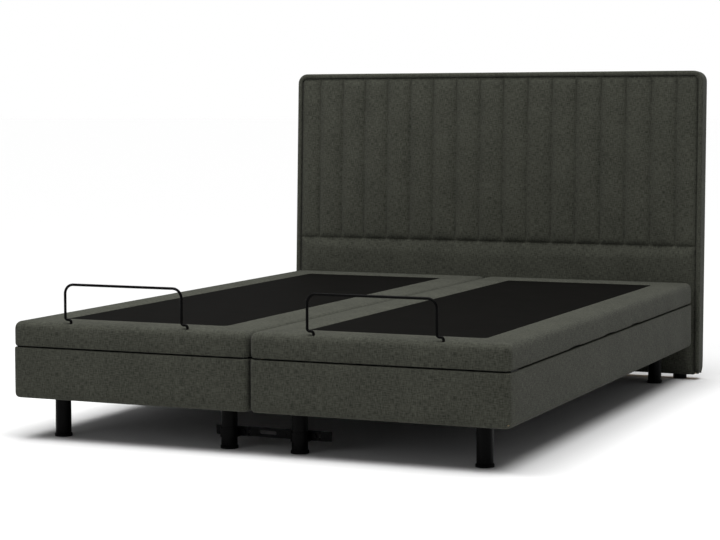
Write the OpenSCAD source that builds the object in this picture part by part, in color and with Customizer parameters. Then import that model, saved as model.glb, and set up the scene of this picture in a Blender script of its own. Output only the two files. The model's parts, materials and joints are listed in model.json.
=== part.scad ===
// Adjustable bed base: two motorised single bases side by side, joined at the
// foot end, with one headboard behind them. +Z is up, +Y points to the
// headboard, and the origin is on the floor below the middle of the whole bed.

/* [Base] */
// Width of one base
base_w = 798; // [680:1:980]
// Length of one base, without the headboard
base_l = 2000; // [1700:10:2400]
// Gap between the two bases
base_gap = 4; // [2:1:10]
// Height of the lower box above the floor
leg_h = 124; // [100:1:160]
// Height of the lower box
box_h = 156; // [140:1:190]
// Gap between the lower box and the sections of the deck
seam_gap = 3; // [2:0.5:5]
// Thickness of the padded deck sections
deck_h = 75; // [72:1:95]

/* [Deck sections] */
// Length of the calf section, from the foot end to the knee
calf_l = 600; // [480:10:720]
// Length of the thigh section
thigh_l = 350; // [290:10:420]
// Length of the fixed seat section
seat_l = 300; // [250:10:360]
// Height of the hinge axes above the underside of the deck
hinge_up = 17; // [16:0.5:19]
// Steepest angle of the back section
back_max = 60; // [30:5:70]
// Steepest angle of the thigh section
thigh_max = 35; // [20:5:45]
// Fold angle between the thigh and calf sections at that height
knee_max = 55; // [30:1:70]
// Gap on each side of a hinge line
hinge_gap = 1; // [0.5:0.5:3]
// Spare angle on each side of a folded hinge
fold_spare = 1.5; // [1:0.5:3]
// Thickness of the padding around the edge of a section
skirt_t = 35; // [30:1:45]
// Thickness of the deck boards
board_t = 15; // [12:1:18]
// Distance from a hinge line to the end of a board
board_back = 27; // [24:1:40]

/* [Box] */
// Thickness of the upholstery on the lower box
cover_t = 3; // [2:0.5:5]
// Width of the upholstery that is turned in over the top edge
cover_lip = 25; // [20:1:40]
// Width of the upholstery that is turned in under the box
cover_hem = 45; // [30:1:70]
// Thickness of the timber walls
wall_t = 18; // [16:1:28]
// Radius of the upright timber corners
timber_r = 17; // [10:1:20]
// Width of the rebate along the lower timber edges
rebate_w = 6; // [4:1:8]
// Height of the rebate along the lower timber edges
rebate_h = 9; // [6:1:12]
// Side of the square corner blocks
block_w = 150; // [130:5:180]
// Height of the corner blocks
block_h = 30; // [24:1:45]
// Thickness of the dust cover
dust_t = 1; // [1:0.5:2]

/* [Legs] */
// Diameter of the leg tube
leg_d = 48; // [40:1:60]
// Wall of the leg tube
leg_wall = 2; // [1.5:0.5:4]
// Diameter of the glide cap
cap_d = 54; // [50:1:70]
// Height of the glide cap
cap_h = 10; // [6:1:16]
// Distance of a leg from the sides of its base
leg_in_x = 113; // [90:1:140]
// Distance of a leg from the ends of its base
leg_in_y = 108; // [90:1:140]
// Diameter of the stud on top of a leg
stud_d = 10; // [8:1:12]

/* [Subframe] */
// Width of the side angles
rail_w = 50; // [45:1:60]
// Height of the side angles
rail_h = 30; // [25:1:40]
// Wall of the side angles
steel_t = 3; // [2:0.5:5]
// Thickness of the hinge plates and ears
plate_t = 6; // [5:0.5:8]
// Height of the crossbars
bar_h = 20; // [16:1:24]
// Width of the crossbars
bar_w = 30; // [24:1:40]
// Diameter of the torque tubes
tube_d = 30; // [26:1:32]
// Diameter of the hinge pins
pin_d = 12; // [10:1:14]
// Radial clearance of a pin in a turning hole
pin_clear = 0.05; // [0.02:0.01:0.08]
// Diameter of the knee pins
knee_pin_d = 10; // [8:1:12]
// Diameter of the knee ears
ear_d = 28; // [24:1:30]
// Width of the section frame arms
arm_w = 25; // [20:1:30]
// Height of the section frame arms
arm_h = 20; // [16:1:22]
// Side clearance between hinge parts
side_clear = 2; // [1:0.5:4]

/* [Twin drive] */
// Length of the levers, from the hinge axis to the tip
lever_l = 110; // [90:1:115]
// Thickness of one lever
lever_t = 8; // [6:1:10]
// Distance between the middles of the two levers
lever_gap = 40; // [30:1:50]
// Radius of a lever tip
tip_r = 12; // [10:1:14]
// Gap between a lever tip and its pusher at rest
tip_clear = 1.5; // [1.3:0.1:3]
// Length of a pusher
pusher_l = 40; // [30:1:50]
// Width of a pusher
pusher_w = 76; // [60:1:90]
// Depth of a pusher below its upper face
pusher_h = 32; // [25:1:36]
// Running clearance of a pusher in the housing
pusher_clear = 1; // [0.5:0.5:2]
// Wall of the housing
drive_wall = 5; // [4:0.5:7]
// Diameter of a motor barrel
motor_d = 64; // [50:1:70]
// Length of a motor barrel
motor_l = 85; // [70:1:110]

/* [Mattress retainer] */
// Diameter of the bar
bar_d = 8; // [6:0.5:10]
// Distance between the uprights
retainer_w = 396; // [300:1:480]
// Height above the deck
retainer_h = 120; // [80:1:160]
// Radius of the bends at the top
retainer_r = 28; // [20:1:50]
// Sideways step at the lower ends
retainer_step = 20; // [14:1:30]
// Distance from the foot end
retainer_in = 18; // [14:1:30]

/* [Connector] */
// Length of the slotted bar to the left of the left leg
link_left = 56; // [45:1:80]
// Length of the slotted bar to the right of the right leg
link_right = 90; // [45:1:110]
// Height of the slotted bar
link_h = 28; // [24:1:36]
// Thickness of the slotted bar
link_t = 4; // [3:0.5:6]
// Height of its middle above the floor
link_z = 48; // [35:1:70]
// Height of the slots
slot_h = 11; // [8:1:14]
// Length of the short slots
slot_l = 36; // [28:1:42]
// Length of the middle slot
slot_mid_l = 57; // [40:1:70]
// Thickness of the clamp sheet
clamp_t = 3; // [2:0.5:4]
// Diameter of the clamp screws
screw_d = 8; // [6:1:8]

/* [Headboard] */
// Width of the headboard
head_w = 1640; // [1400:10:2000]
// Height of the headboard, without its feet
head_h = 1116; // [900:2:1300]
// Height of its lower edge above the floor
head_up = 21; // [16:1:40]
// Backward lean
head_lean = 2.2; // [0:0.1:5]
// Gap between the bases and the headboard at its lower edge
head_gap = 8; // [6:1:20]
// Radius of the upper corners
head_r = 38; // [30:1:60]
// Width of the padded border seen from the front
border_w = 18; // [14:1:30]
// Thickness of the padded border on the edges
border_t = 12; // [8:1:13]
// Thickness of the quilted cushion
cushion_t = 25; // [18:1:40]
// Thickness of the front board
front_t = 12; // [9:1:18]
// Thickness of the timber frame
timber_t = 32; // [28:1:45]
// Width of the timbers
timber_w = 70; // [50:5:100]
// Thickness of the back cloth
cloth_t = 1; // [1:0.5:2]
// Diameter of the headboard feet
foot_d = 50; // [30:1:56]
// Distance of the outer feet from the middle
foot_x = 740; // [500:10:760]
// Height of the headboard screws above the floor
fix_z = 200; // [180:1:225]
// Distance of a headboard screw from the sides of its base
fix_in = 190; // [170:5:260]
// Diameter of the spacers
spacer_d = 24; // [20:1:30]

/* [Control box] */
// Width of the control box
control_w = 180; // [120:5:220]
// Height of the control box
control_h = 80; // [60:1:100]
// Depth of the control box
control_d = 45; // [35:1:60]
// Diameter of the cable gland
gland_d = 18; // [14:1:24]
// Diameter of the hole in the gland
gland_bore = 8; // [6:1:9]

/* [Hidden] */
$fn = 48;
LEFT = -1;
RIGHT = 1;
SIDES = [LEFT, RIGHT];

// Levels
box_top = leg_h + box_h;
deck_z = box_top + seam_gap;
deck_top = deck_z + deck_h;
hinge_z = deck_z + hinge_up;
arm_top = hinge_z + 18;
arm_z = arm_top - arm_h;
board_z = arm_top;
board_top = board_z + board_t;
rail_top = box_top - cover_t - 2;
bar_z = rail_top - steel_t - bar_h;

// Places along the bed, counted from the foot end
knee_y = calf_l;
thigh_y = calf_l + thigh_l;
back_y = thigh_y + seat_l;
total_l = base_l + head_gap + head_h * sin(head_lean)
    + (cushion_t + front_t + timber_t + cloth_t) * cos(head_lean);
foot_y = -total_l / 2;

// Places across one base, counted from its middle
half_w = base_w / 2;
frame_half = half_w - cover_t;
inner_half = frame_half - wall_t;
rail_half = inner_half;
skirt_half = half_w - skirt_t;
hinge_plate_x = skirt_half - plate_t - 6;
arm_x = hinge_plate_x - side_clear - arm_w;
base_x = base_gap / 2 + half_w;
pin_reach = 24;
ear_reach = ear_d / 2 + 8;
knee_bar_in = 60;

// Ends of the deck sections: place, gap, fold angle above and below the hinge
// axis, and width of the skirt
back_fold = back_max / 2 + fold_spare;
thigh_fold = thigh_max / 2 + fold_spare;
knee_fold = knee_max / 2 + fold_spare;
foot_end = [0, 0, 0, 0, skirt_t];
knee_end = [knee_y, hinge_gap, 0, knee_fold, -1];
thigh_end = [thigh_y, hinge_gap, thigh_fold, 0, -1];
back_end = [back_y, hinge_gap, back_fold, 0, -1];
head_end = [base_l, 0, 0, 0, skirt_t];

// Headboard layers, counted from its front
front_v = cushion_t;
timber_v = front_v + front_t;
cloth_v = timber_v + timber_t;

// Connector: the leg beside the middle, the bar behind it, the clamp screws,
// and the slots of the bar, each as its middle and its length
leg_x = base_gap / 2 + leg_in_x;
link_y = leg_in_y + leg_d / 2;
flange_x = leg_d / 2 + 14;
slot_end_l = 16;
link_slots = [
    [-leg_x - flange_x, slot_end_l], [flange_x - leg_x, slot_l], [0, slot_mid_l],
    [leg_x - flange_x, slot_l], [leg_x + flange_x, slot_l]
];

// Mattress retainer
retainer_low_r = 8;
retainer_into = 25;
retainer_bend_z = retainer_h - bar_d / 2 - retainer_r;

// Drive
drive_spare = 70;
back_stroke = 2 * lever_l * sin(back_max / 2);
leg_stroke = 2 * lever_l * sin(thigh_max / 2);
pusher_top = hinge_z - lever_l + tip_r - 2;
drive_inner_z = pusher_top - pusher_h - pusher_clear;
drive_z = drive_inner_z - drive_wall;
drive_top = bar_z;
drive_half = pusher_w / 2 + pusher_clear + drive_wall;
drive_y0 = thigh_y - leg_stroke / 2 - tip_r - drive_spare;
drive_y1 = back_y + back_stroke / 2 + tip_r + drive_spare;

// Draws a base's piece in the place of the left or the right base. Local +X
// points away from the middle of the bed, and local Y starts at the foot end.
module on_base(side) {
    translate([side * base_x, foot_y, 0])
        mirror([side < 0 ? 1 : 0, 0, 0])
            children();
}

// Draws in the leaning frame of the headboard: its lower front edge is at zero
module leaned() {
    translate([0, foot_y + base_l + head_gap, head_up])
        rotate([-head_lean, 0, 0])
            children();
}

// Box between two values on each axis
module block(x, y, z) {
    translate([x[0], y[0], z[0]])
        cube([x[1] - x[0], y[1] - y[0], z[1] - z[0]]);
}

// Cylinder along X from x0 to x1
module x_rod(x0, x1, d) {
    translate([x0, 0, 0])
        rotate([0, 90, 0])
            cylinder(d = d, h = x1 - x0);
}

// Prism along X whose side outline is given as [y, z] points
module x_prism(half, outline) {
    translate([-half, 0, 0])
        rotate([90, 0, 90])
            linear_extrude(height = 2 * half)
                polygon(outline);
}

// ---- Lower box ----

module box_frame(side) {
    wood_z = leg_h + cover_t;
    wood_top = box_top - cover_t;
    color("burlywood")
        difference() {
            on_base(side) {
                difference() {
                    union() {
                        timber_outline(rebate_w, wood_z, wood_z + rebate_h);
                        timber_outline(0, wood_z + rebate_h, wood_top);
                    }
                    block([-inner_half, inner_half],
                        [cover_t + wall_t, base_l - cover_t - wall_t], [wood_z - 1, wood_top + 1]);
                }
                for (x = SIDES, y = [leg_in_y, base_l - leg_in_y])
                    leg_block(x, y, wood_z);
            }
            leg_studs(stud_d + 0.5);
            headboard_bores(screw_d + 0.5);
        }
}

// Outside of the timber walls between two heights, inset by d
module timber_outline(d, z0, z1) {
    w = frame_half - d;
    y = [cover_t + d, base_l - cover_t - d];
    r = timber_r;
    translate([0, 0, z0])
        linear_extrude(height = z1 - z0) {
            translate([-w, y[0] + r])
                square([2 * w, y[1] - y[0] - 2 * r]);
            translate([r - w, y[0]])
                square([2 * (w - r), y[1] - y[0]]);
            for (x = SIDES, e = [y[0] + r, y[1] - r])
                translate([x * (w - r), e])
                    circle(r = r);
        }
}

// Corner block that takes a leg's stud
module leg_block(x, y, z) {
    at_foot = y < base_l / 2;
    y0 = at_foot ? cover_t + wall_t - 1 : base_l - block_w;
    y1 = at_foot ? block_w : base_l - cover_t - wall_t + 1;
    x0 = x < 0 ? -inner_half - 1 : half_w - block_w;
    x1 = x < 0 ? block_w - half_w : inner_half + 1;
    block([x0, x1], [y0, y1], [z, z + block_h]);
}

module box_cover(side) {
    color("dimgray")
        difference() {
            on_base(side)
                difference() {
                    block([-half_w, half_w], [0, base_l], [leg_h, box_top]);
                    block([-frame_half, frame_half], [cover_t, base_l - cover_t],
                        [leg_h + cover_t, box_top - cover_t]);
                    block([cover_lip - half_w, half_w - cover_lip], [cover_lip, base_l - cover_lip],
                        [box_top - cover_t - 1, box_top + 1]);
                    block([cover_hem - half_w, half_w - cover_hem], [cover_hem, base_l - cover_hem],
                        [leg_h - 1, leg_h + cover_t + 1]);
                }
            headboard_bores(screw_d + 0.5);
        }
}

module dust_covers() {
    color("black")
        difference() {
            for (side = SIDES)
                on_base(side)
                    block([cover_hem - half_w, half_w - cover_hem], [cover_hem, base_l - cover_hem],
                        [leg_h + cover_t - dust_t, leg_h + cover_t]);
            at_legs(SIDES)
                translate([0, 0, leg_h - 1])
                    cylinder(d = leg_d + 1, h = cover_t + 2);
            gland_place()
                cylinder(d = gland_d + 4, h = 40, center = true);
        }
}

// ---- Legs ----

// Repeats its children at the four legs of each listed base
module at_legs(sides) {
    for (side = sides)
        on_base(side)
            for (x = SIDES, y = [leg_in_y, base_l - leg_in_y])
                translate([x * (half_w - leg_in_x), y, 0])
                    children();
}

module leg_studs(d) {
    at_legs(SIDES)
        translate([0, 0, leg_h])
            cylinder(d = d, h = block_h + cover_t + 12);
}

module legs() {
    color([0.08, 0.08, 0.08]) {
        at_legs(SIDES) {
            difference() {
                translate([0, 0, 3])
                    cylinder(d = leg_d, h = leg_h + cover_t - 3);
                translate([0, 0, 2])
                    cylinder(d = leg_d - 2 * leg_wall, h = leg_h + cover_t - 6);
            }
        }
        leg_studs(stud_d);
    }
}

module leg_caps() {
    color("black")
        at_legs(SIDES)
            difference() {
                union() {
                    cylinder(d = cap_d, h = cap_h - 3);
                    translate([0, 0, cap_h - 3])
                        cylinder(d1 = cap_d, d2 = leg_d + 1, h = 3);
                }
                translate([0, 0, 3])
                    cylinder(d = leg_d, h = cap_h);
            }
}

module leg_nuts() {
    color("silver")
        at_legs(SIDES)
            translate([0, 0, leg_h + cover_t + block_h])
                difference() {
                    union() {
                        cylinder(d = stud_d * 2.4, h = 2);
                        cylinder(d = stud_d * 1.8, h = stud_d * 0.8, $fn = 6);
                    }
                    translate([0, 0, -1])
                        cylinder(d = stud_d, h = stud_d * 2);
                }
}

// ---- Steel subframe ----

module subframe(side) {
    end_bar_in = 160;
    drive_lap = 10;
    seat_bar_in = 60;
    plate_reach = 20;
    color("darkslategray")
        on_base(side)
            difference() {
                union() {
                    for (x = SIDES)
                        mirror([x < 0 ? 1 : 0, 0, 0])
                            side_angle();
                    for (y = [end_bar_in, drive_y0 + drive_lap, drive_y1 - drive_lap - bar_w,
                            base_l - end_bar_in - bar_w])
                        block([1 - rail_half, rail_half - 1], [y, y + bar_w], [bar_z, bar_z + bar_h]);
                    for (x = SIDES)
                        block(x < 0 ? [-hinge_plate_x - plate_t, -hinge_plate_x]
                            : [hinge_plate_x, hinge_plate_x + plate_t],
                            [thigh_y - plate_reach, back_y + plate_reach],
                            [rail_top - steel_t, hinge_z + plate_reach - 4]);
                    for (y = [thigh_y + seat_bar_in, back_y - seat_bar_in - bar_w])
                        block([-hinge_plate_x - 1, hinge_plate_x + 1], [y, y + bar_w], [arm_z, arm_top]);
                }
                for (y = [thigh_y, back_y])
                    translate([0, y, hinge_z])
                        x_rod(-half_w, half_w, pin_d);
            }
}

// One side angle: an upright flange on the timber and a level flange on top
module side_angle() {
    y = [cover_t + wall_t + 2, base_l - cover_t - wall_t - 2];
    difference() {
        block([rail_half - rail_w, rail_half], y, [rail_top - rail_h, rail_top]);
        block([rail_half - rail_w - 1, rail_half - steel_t], [y[0] - 1, y[1] + 1],
            [rail_top - rail_h - 1, rail_top - steel_t]);
    }
}

module hinge_pins() {
    head_t = 3;
    color("silver")
        for (side = SIDES)
            on_base(side)
                for (x = SIDES, y = [thigh_y, back_y])
                    translate([0, y, hinge_z])
                        mirror([x < 0 ? 1 : 0, 0, 0]) {
                            x_rod(hinge_plate_x - pin_reach, hinge_plate_x + plate_t, pin_d);
                            x_rod(hinge_plate_x + plate_t, hinge_plate_x + plate_t + head_t, pin_d * 1.6);
                        }
}

// ---- Twin drive ----

module drive_housing(side) {
    color([0.25, 0.25, 0.27])
        on_base(side)
            difference() {
                union() {
                    block([-drive_half, drive_half], [drive_y0, drive_y1], [drive_z, drive_top - drive_wall]);
                    for (y = [thigh_y + seat_l / 3, back_y - seat_l / 3])
                        translate([0, y, drive_z + motor_d / 2])
                            x_rod(drive_half - 2, drive_half + motor_l, motor_d);
                }
                block([drive_wall - drive_half, drive_half - drive_wall],
                    [drive_y0 + drive_wall, drive_y1 - drive_wall], [drive_inner_z, drive_top]);
            }
}

module drive_cover(side) {
    tip_sweep = tip_r + 10;
    color([0.18, 0.18, 0.2])
        on_base(side)
            difference() {
                block([-drive_half, drive_half], [drive_y0, drive_y1], [drive_top - drive_wall, drive_top]);
                for (s = [[thigh_y, leg_stroke], [back_y, back_stroke]])
                    block([-lever_gap, lever_gap],
                        [s[0] - s[1] / 2 - tip_sweep, s[0] + s[1] / 2 + tip_sweep],
                        [drive_top - drive_wall - 1, drive_top + 1]);
            }
}

// Pusher of the drive: its face stands just behind the lever tip
module pusher(side, face_y, dir) {
    y = dir > 0 ? [face_y - pusher_l, face_y] : [face_y, face_y + pusher_l];
    color("whitesmoke")
        on_base(side)
            block([-pusher_w / 2, pusher_w / 2], y, [pusher_top - pusher_h, pusher_top]);
}

module back_pusher(side) {
    pusher(side, back_y - back_stroke / 2 - tip_r - tip_clear, 1);
}

module leg_pusher(side) {
    pusher(side, thigh_y + leg_stroke / 2 + tip_r + tip_clear, -1);
}

// Welded frame that turns on a torque tube: the tube with its two levers, the
// frame drawn by the children, and the pin holes in both ends of the tube.
// lean is the angle of the levers from straight down, towards the foot end.
module lift_frame(axis_y, lean) {
    reach = hinge_plate_x - side_clear;
    difference() {
        union() {
            translate([0, axis_y, hinge_z]) {
                x_rod(-reach, reach, tube_d);
                for (x = SIDES)
                    translate([x * lever_gap / 2 - lever_t / 2, 0, 0])
                        rotate([-lean, 0, 0])
                            lever();
            }
            children();
        }
        for (x = SIDES)
            translate([0, axis_y, hinge_z])
                mirror([x < 0 ? 1 : 0, 0, 0])
                    x_rod(hinge_plate_x - pin_reach - 2, reach + 1, pin_d + 2 * pin_clear);
    }
}

// One lever, straight down from the hinge axis, with a round tip
module lever() {
    block([0, lever_t], [-tip_r + 2, tip_r - 2], [-lever_l, 0]);
    translate([0, 0, -lever_l])
        x_rod(0, lever_t, 2 * tip_r);
}

// ---- Control box ----

module control_place() {
    on_base(RIGHT)
        translate([0, base_l - cover_t - wall_t, leg_h + 40])
            children();
}

module gland_place() {
    control_place()
        translate([-control_w / 4, -control_d / 2, 0])
            children();
}

module control_box() {
    color([0.15, 0.15, 0.16])
        difference() {
            control_place()
                block([-control_w / 2, control_w / 2], [-control_d, 0], [0, control_h]);
            gland_place()
                cylinder(d = gland_bore, h = 2 * gland_d, center = true);
        }
}

module cable_gland() {
    gland_l = 14;
    color([0.1, 0.1, 0.1])
        gland_place()
            translate([0, 0, -gland_l])
                difference() {
                    cylinder(d = gland_d, h = gland_l);
                    translate([0, 0, -1])
                        cylinder(d = gland_bore, h = gland_l + 2);
                }
}

// ---- Deck sections ----

// Padding of one section: a slab over the board with a skirt round the frame.
// a and b give the foot and head ends: place, gap, angle above and below the
// hinge axis, and the width of the skirt there.
module pad(side, a, b) {
    over = deck_top - hinge_z;
    color("dimgray")
        on_base(side)
            difference() {
                x_prism(half_w, [
                    [a[0] + a[1] + hinge_up * tan(a[3]), deck_z],
                    [b[0] - b[1] - hinge_up * tan(b[3]), deck_z],
                    [b[0] - b[1], hinge_z],
                    [b[0] - b[1] - over * tan(b[2]), deck_top],
                    [a[0] + a[1] + over * tan(a[2]), deck_top],
                    [a[0] + a[1], hinge_z]
                ]);
                block([-skirt_half, skirt_half], [a[0] + a[4], b[0] - b[4]], [deck_z - 1, board_top]);
            }
}

module calf_pad(side) {
    difference() {
        pad(side, foot_end, knee_end);
        at_retainer_ends(side)
            translate([0, 0, -retainer_into])
                cylinder(d = bar_d, h = retainer_into + 1);
    }
}

module thigh_pad(side) {
    pad(side, knee_end, thigh_end);
}

module seat_pad(side) {
    pad(side, thigh_end, back_end);
}

module back_pad(side) {
    pad(side, back_end, head_end);
}

// Board of one section between two places
module board(side, y0, y1) {
    color("peru")
        on_base(side)
            block([0.5 - skirt_half, skirt_half - 0.5], [y0, y1], [board_z, board_top]);
}

module calf_board(side) {
    board(side, skirt_t + 0.5, knee_y - hinge_gap);
}

module thigh_board(side) {
    board(side, knee_y + hinge_gap, thigh_y - board_back);
}

module seat_board(side) {
    board(side, thigh_y + board_back, back_y - board_back);
}

module back_board(side) {
    board(side, back_y + board_back, base_l - skirt_t - 0.5);
}

// Two side arms of a section frame and a crossbar at each listed place
module arms(y0, y1, bars) {
    for (x = SIDES)
        block(x < 0 ? [-arm_x - arm_w, -arm_x] : [arm_x, arm_x + arm_w], [y0, y1], [arm_z, arm_top]);
    for (y = bars)
        block([-arm_x - 1, arm_x + 1], [y, y + bar_w], [arm_z, arm_top]);
}

module back_frame(side) {
    arm_end = base_l - skirt_t - 3;
    mid_bar = 250;
    color("darkslategray")
        on_base(side)
            lift_frame(back_y, back_max / 2)
                arms(back_y, arm_end, [back_y + mid_bar, arm_end - bar_w]);
}

// Ear of the knee hinge: a disc on the axis and a strap into the arm
module knee_ear(x0, dir) {
    reach = ear_reach + 1;
    translate([0, knee_y, hinge_z])
        x_rod(x0, x0 + plate_t, ear_d);
    block([x0, x0 + plate_t],
        dir > 0 ? [knee_y, knee_y + reach] : [knee_y - reach, knee_y],
        [arm_z, hinge_z + ear_d / 2]);
}

// Both sides' knee ears with their holes, cut through the arms as well
module with_knee_ears(x0, dir, hole_d) {
    difference() {
        union() {
            children();
            for (x = SIDES)
                mirror([x < 0 ? 1 : 0, 0, 0])
                    knee_ear(x0, dir);
        }
        translate([0, knee_y, hinge_z])
            x_rod(-half_w, half_w, hole_d);
    }
}

module thigh_frame(side) {
    color("darkslategray")
        on_base(side)
            lift_frame(thigh_y, -thigh_max / 2)
                with_knee_ears(arm_x, 1, knee_pin_d)
                    arms(knee_y + ear_reach, thigh_y, [knee_y + knee_bar_in]);
}

module calf_frame(side) {
    color("darkslategray")
        on_base(side)
            with_knee_ears(arm_x + plate_t + side_clear, -1, knee_pin_d + 2 * pin_clear)
                arms(skirt_t + 3, knee_y - ear_reach, [skirt_t + 3, knee_y - knee_bar_in - bar_w]);
}

module knee_pins(side) {
    x1 = arm_x + 2 * plate_t + side_clear;
    color("silver")
        on_base(side)
            for (x = SIDES)
                translate([0, knee_y, hinge_z])
                    mirror([x < 0 ? 1 : 0, 0, 0]) {
                        x_rod(arm_x, x1 + 1, knee_pin_d);
                        x_rod(x1 + 1, x1 + 4, knee_pin_d * 1.6);
                        x_rod(arm_x - 3, arm_x, knee_pin_d * 1.6);
                    }
}

module calf_glides(side) {
    glide_l = 60;
    glide_t = seam_gap - 0.5;
    glide_in = 5;
    glide_y = 20;
    color("dimgray")
        on_base(side)
            for (x = SIDES)
                block(x < 0 ? [glide_in - half_w, wall_t - half_w]
                        : [half_w - wall_t, half_w - glide_in],
                    [glide_y, glide_y + glide_l], [deck_z - glide_t, deck_z]);
}

// ---- Mattress retainer ----

// Quarter bend of the bar in the XZ plane, centred on the origin, from
// angle a to a + 90
module bend(r, a) {
    rotate([90, 0, 0])
        rotate([0, 0, a])
            rotate_extrude(angle = 90)
                translate([r, 0])
                    circle(d = bar_d);
}

// The two points where the bar enters the deck
module at_retainer_ends(side) {
    for (x = [-retainer_w / 2, retainer_w / 2])
        translate([side * base_x + x, foot_y + retainer_in, deck_top])
            children();
}

// Lower end of the bar: from the deck up, one step back sideways, and up again
module retainer_end() {
    run_z = retainer_low_r + 2;
    translate([0, 0, -retainer_into])
        cylinder(d = bar_d, h = retainer_into + run_z - retainer_low_r);
    translate([-retainer_low_r, 0, run_z - retainer_low_r])
        bend(retainer_low_r, 0);
    translate([-retainer_step, 0, run_z])
        x_rod(retainer_low_r, retainer_step - retainer_low_r, bar_d);
    translate([retainer_low_r - retainer_step, 0, run_z + retainer_low_r])
        bend(retainer_low_r, 180);
    translate([-retainer_step, 0, run_z + retainer_low_r])
        cylinder(d = bar_d, h = retainer_bend_z - run_z - retainer_low_r);
}

module retainer(side) {
    half = retainer_w / 2;
    color([0.06, 0.06, 0.06]) {
        at_retainer_ends(side)
            retainer_end();
        translate([side * base_x - retainer_step, foot_y + retainer_in, deck_top]) {
            translate([retainer_r - half, 0, retainer_bend_z + retainer_r])
                x_rod(0, 2 * (half - retainer_r), bar_d);
            translate([half - retainer_r, 0, retainer_bend_z])
                bend(retainer_r, 0);
            translate([retainer_r - half, 0, retainer_bend_z])
                bend(retainer_r, 90);
        }
    }
}

// ---- Connector between the bases ----

module connector_bar() {
    color([0.12, 0.12, 0.12])
        translate([0, foot_y + link_y, link_z])
            difference() {
                block([-leg_x - link_left, leg_x + link_right], [0, link_t], [-link_h / 2, link_h / 2]);
                for (s = link_slots)
                    slot(s[0], s[1]);
            }
}

// Slot through the bar: a box between two round ends
module slot(x, l) {
    r = slot_h / 2;
    block([x - l / 2 + r, x + l / 2 - r], [-1, link_t + 1], [-r, r]);
    for (e = SIDES)
        translate([x + e * (l / 2 - r), link_t + 1, 0])
            rotate([90, 0, 0])
                cylinder(r = r, h = link_t + 2);
}

// Saddle that holds a leg against the bar, with a flange on each side
module connector_clamps() {
    saddle_r = leg_d / 2 + clamp_t;
    flange_l = 28;
    color([0.1, 0.1, 0.1])
        for (x = SIDES)
            translate([x * leg_x, foot_y + leg_in_y, link_z])
                difference() {
                    union() {
                        translate([0, 0, -link_h / 2])
                            cylinder(r = saddle_r, h = link_h);
                        block([-saddle_r, saddle_r], [0, leg_d / 2], [-link_h / 2, link_h / 2]);
                        block([-leg_d / 2 - flange_l, leg_d / 2 + flange_l],
                            [leg_d / 2 - clamp_t, leg_d / 2], [-link_h / 2, link_h / 2]);
                    }
                    translate([0, 0, -link_h])
                        cylinder(d = leg_d, h = 2 * link_h);
                    block([-leg_d / 2, leg_d / 2], [0, leg_d], [-link_h, link_h]);
                    block([-leg_d, leg_d], [leg_d / 2, leg_d], [-link_h, link_h]);
                    for (e = SIDES)
                        translate([e * flange_x, leg_d, 0])
                            rotate([90, 0, 0])
                                cylinder(d = screw_d + 0.4, h = leg_d);
                }
}

module connector_screws() {
    head_t = 5;
    washer_t = 1.5;
    nut_t = 6;
    spare_t = 9;
    color("silver")
        for (x = SIDES, e = SIDES)
            translate([x * leg_x + e * flange_x, foot_y + link_y, link_z])
                rotate([90, 0, 0]) {
                    translate([0, 0, -link_t - spare_t])
                        cylinder(d = screw_d, h = link_t + clamp_t + spare_t + 1);
                    translate([0, 0, clamp_t])
                        cylinder(d = screw_d * 1.7, h = head_t, $fn = 6);
                    translate([0, 0, -link_t - washer_t])
                        cylinder(d = screw_d * 2.1, h = washer_t);
                    translate([0, 0, -link_t - washer_t - nut_t])
                        cylinder(d = screw_d * 1.7, h = nut_t, $fn = 6);
                }
}

// ---- Headboard ----

// Front outline with round upper corners, inset from the edge by d. The lower
// edge stays at zero.
module outline(d) {
    r = head_r - d;
    w = head_w / 2 - d;
    h = head_h - d;
    translate([-w, 0])
        square([2 * w, h - r]);
    translate([r - w, 0])
        square([2 * (w - r), h]);
    for (x = SIDES)
        translate([x * (w - r), h - r])
            circle(r = r);
}

// Plate with that outline from depth v0 to v1
module head_plate(d, v0, v1) {
    translate([0, v1, 0])
        rotate([90, 0, 0])
            linear_extrude(height = v1 - v0)
                outline(d);
}

// Places of the screws that hold the headboard, drawn along its depth
module at_headboard_screws() {
    screw_z = fix_z - head_up;
    for (x = SIDES, e = SIDES)
        translate([x * base_x + e * (half_w - fix_in), 0, screw_z])
            rotate([-90, 0, 0])
                children();
}

module headboard_bores(d) {
    leaned()
        at_headboard_screws()
            translate([0, 0, -head_gap - 60])
                cylinder(d = d, h = head_gap + 70 + cloth_v);
}

module headboard_cushion() {
    color("dimgray")
        leaned()
            difference() {
                head_plate(border_w + 0.5, 0, front_v);
                at_headboard_screws()
                    translate([0, 0, -1])
                        cylinder(d = spacer_d + 1, h = cushion_t + 2);
            }
}

module headboard_border() {
    color("dimgray")
        leaned()
            difference() {
                head_plate(0, 3, cloth_v);
                head_plate_open(border_w, 2, front_v);
                head_plate_open(border_t, front_v - 1, cloth_v + 1);
            }
}

// The same plate, run on below the lower edge, for cutting
module head_plate_open(d, v0, v1) {
    head_plate(d, v0, v1);
    block([d - head_w / 2, head_w / 2 - d], [v0, v1], [-10, 10]);
}

module headboard_front() {
    color("tan")
        difference() {
            leaned()
                head_plate(border_t, front_v, timber_v);
            headboard_bores(screw_d + 0.5);
        }
}

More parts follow.
